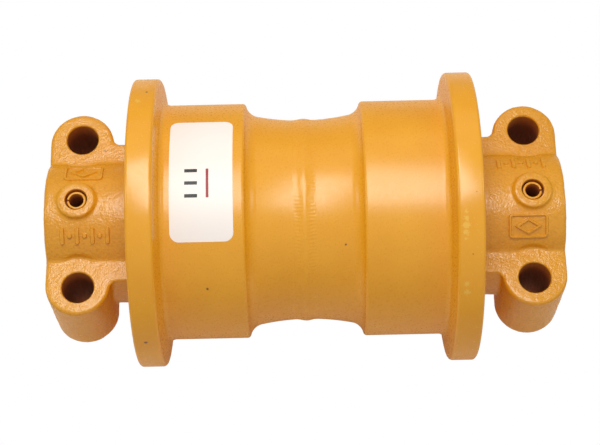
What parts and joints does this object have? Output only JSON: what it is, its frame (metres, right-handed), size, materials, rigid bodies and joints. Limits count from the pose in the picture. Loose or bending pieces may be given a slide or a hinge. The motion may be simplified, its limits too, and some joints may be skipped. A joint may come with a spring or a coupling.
{
  "type": "track roller",
  "caption": "Double-tread, single-flange bottom roller that carries a crawler machine's track chain, on a fixed shaft between two bolt-on collars.",
  "frame": {"origin": "on the shaft's axis, at mid length between the two collars", "axes": "+X along the shaft, +Z towards the bolt heads and lock pins, -Z out of the collars' mounting faces, +Y across"},
  "size_m": [0.353, 0.2, 0.2],
  "materials": {
    "yellow_paint": "satin",
    "steel": "turned",
    "bronze": "turned",
    "seal_iron": "lapped",
    "rubber": "matte",
    "label_film": "satin"
  },
  "bodies": {
    "mounting": {"shaft": "steel", "left_collar": "yellow_paint", "right_collar": "yellow_paint", "left_lock_pin": "yellow_paint", "right_lock_pin": "yellow_paint", "oil_plug": "steel", "left_shaft_o_ring": "rubber", "right_shaft_o_ring": "rubber", "left_fixed_seal_ring": "seal_iron", "right_fixed_seal_ring": "seal_iron", "left_fixed_toric_ring": "rubber", "right_fixed_toric_ring": "rubber"},
    "roller": {"left_shell_half": "yellow_paint", "right_shell_half": "yellow_paint", "weld_bead": "yellow_paint", "left_bushing": "bronze", "right_bushing": "bronze", "left_turning_seal_ring": "seal_iron", "right_turning_seal_ring": "seal_iron", "left_turning_toric_ring": "rubber", "right_turning_toric_ring": "rubber", "label": "label_film"}
  },
  "joints": [
    {"name": "roller_spin", "type": "hinge", "parent": "mounting", "child": "roller", "pos_m": [0, 0, 0], "axis": [1, 0, 0], "continuous": true}
  ]
}
